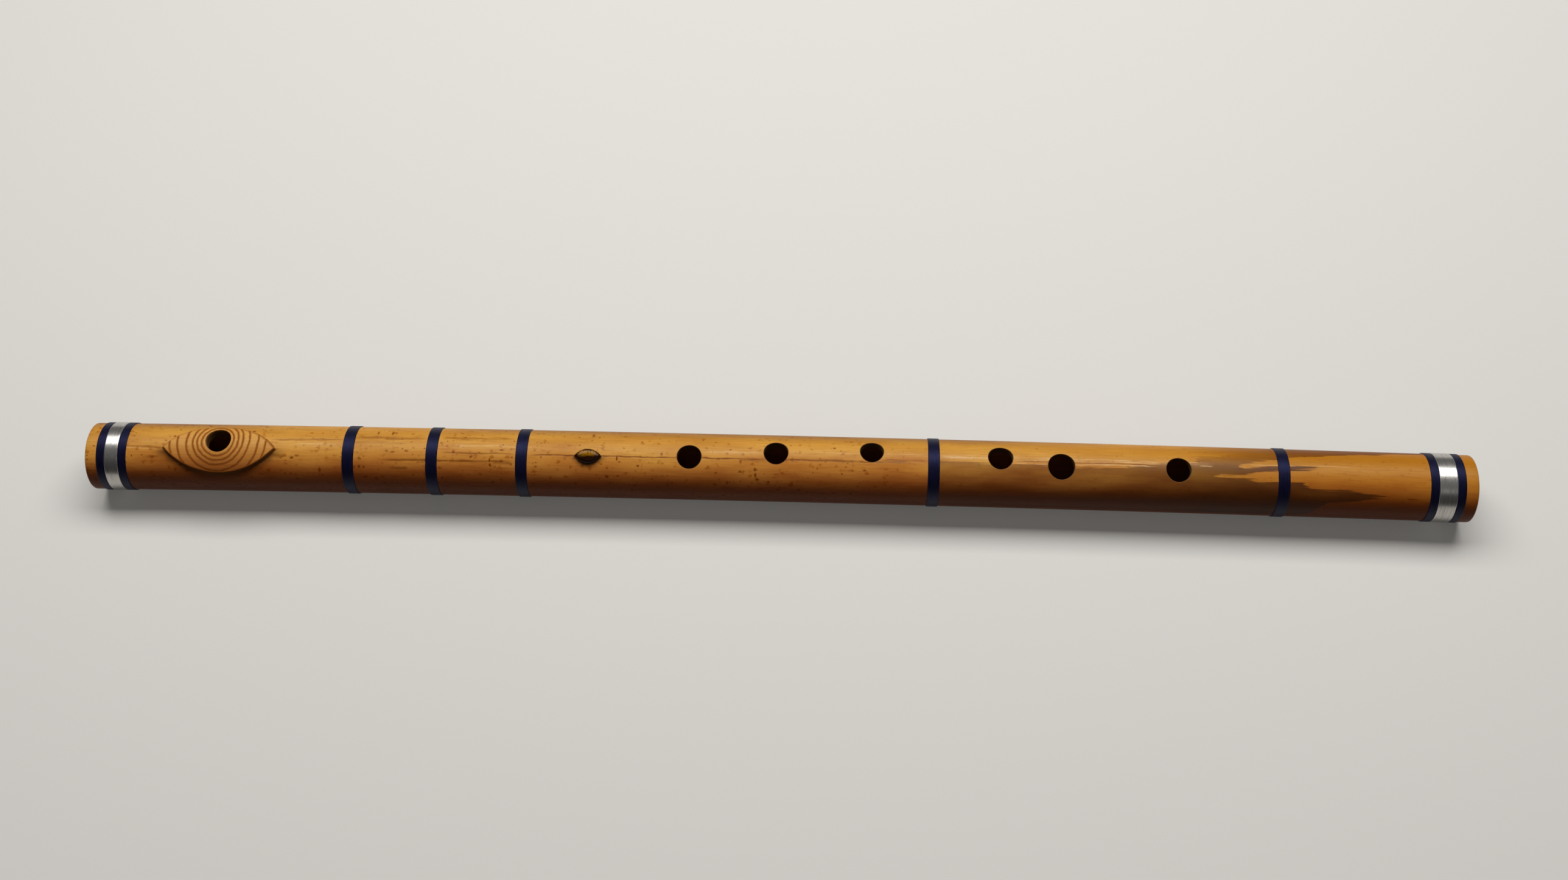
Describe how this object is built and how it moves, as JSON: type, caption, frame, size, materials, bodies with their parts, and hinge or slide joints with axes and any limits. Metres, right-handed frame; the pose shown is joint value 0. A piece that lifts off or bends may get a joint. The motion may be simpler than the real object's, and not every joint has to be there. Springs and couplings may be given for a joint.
{
  "type": "bamboo transverse flute",
  "caption": "Side-blown bamboo flute with finger holes in a slightly bent tube, an almond lip plate, thread bindings, metal end bands and a cork stopper inside.",
  "frame": {"origin": "under the middle of the flute, on the surface that its two metal bands rest on", "axes": "+X along the flute from head to foot, +Z the way the blowing hole faces, +Y away from the player's lips"},
  "size_m": [0.598, 0.0314, 0.0313],
  "materials": {
    "varnished_bamboo": "clear varnished honey-coloured bamboo with small brown flecks",
    "lip_plate_bamboo": "satin bamboo with burnt ring lines and a dark scorched edge",
    "navy_thread": "navy silk thread, close wound and lacquered",
    "nickel_silver": "polished nickel silver with fine turning lines",
    "tiger_eye_stone": "polished dark brown stone with a golden band",
    "cork": "raw cork"
  },
  "bodies": {
    "flute": {"bamboo_tube": "varnished_bamboo", "lip_plate": "lip_plate_bamboo", "stone_cabochon": "tiger_eye_stone", "head_band": "nickel_silver", "foot_band": "nickel_silver", "head_outer_binding": "navy_thread", "head_inner_binding": "navy_thread", "upper_binding_1": "navy_thread", "upper_binding_2": "navy_thread", "upper_binding_3": "navy_thread", "middle_binding": "navy_thread", "lower_binding": "navy_thread", "foot_inner_binding": "navy_thread", "foot_outer_binding": "navy_thread"},
    "stopper": {"stopper_cork": "cork"}
  },
  "joints": [
    {"name": "stopper_slide", "type": "slide", "parent": "flute", "child": "stopper", "axis": [1, 0, 0], "range_m": [-0.005, 0.005]}
  ]
}
